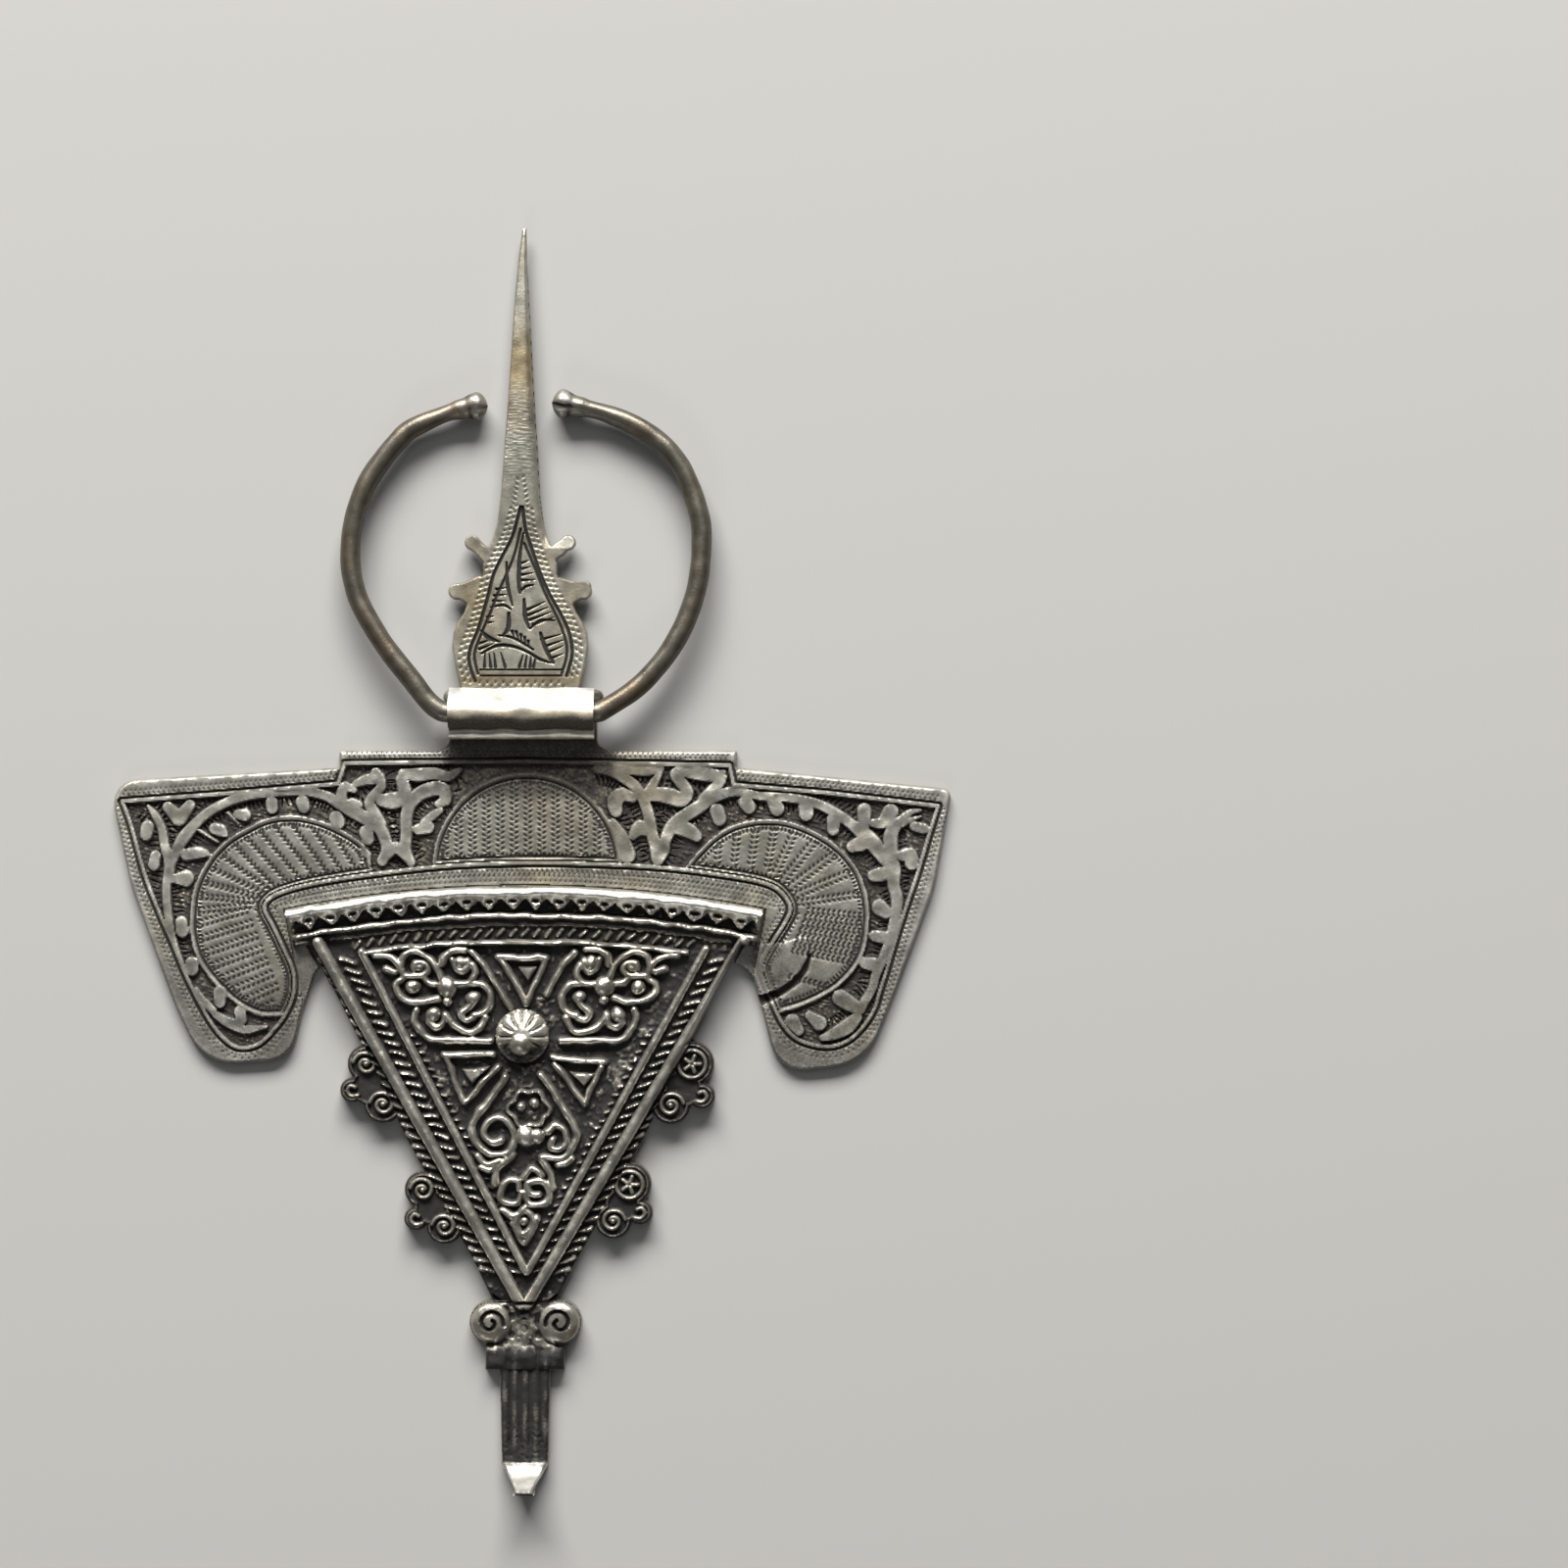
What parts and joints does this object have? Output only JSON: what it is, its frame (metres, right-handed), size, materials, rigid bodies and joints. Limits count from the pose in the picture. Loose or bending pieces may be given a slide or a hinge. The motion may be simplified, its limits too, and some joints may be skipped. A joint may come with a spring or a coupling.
{
  "type": "triangular fibula brooch",
  "caption": "Triangular silver cloak brooch with a chased winged crest, a cast scroll-filled triangle with a hooked tail, a long forged pin and a swinging open ring.",
  "frame": {"origin": "on the flat back of the neck, straight below the axis of the ring's sleeve", "axes": "+Z out of the ornamented front face, +Y along the pin towards its point, +X to the right as seen from the front"},
  "size_m": [0.1584, 0.2392, 0.0092],
  "materials": {
    "chased_silver": "aged silver sheet with dark patina in the chasing",
    "cast_silver": "aged cast silver, black in the hollows and worn bright on the ridges",
    "forged_silver": "forged and filed silver with warm tarnish",
    "polished_silver": "worn bright silver strip",
    "wire_silver": "handled silver wire with warm tarnish",
    "rivet_silver": "flush hammered rivet ends"
  },
  "bodies": {
    "brooch": {"crest_plate": "chased_silver", "cast_plate": "cast_silver", "pin": "forged_silver", "sleeve": "polished_silver", "lap_rivet_left": "rivet_silver", "lap_rivet_right": "rivet_silver", "neck_rivet_left": "rivet_silver", "neck_rivet_right": "rivet_silver"},
    "ring": {"ring": "wire_silver"}
  },
  "joints": [
    {"name": "ring_swing", "type": "hinge", "parent": "brooch", "child": "ring", "pos_m": [0, 0, 0.00545], "axis": [1, 0, 0], "range_deg": [-122, 177]}
  ]
}
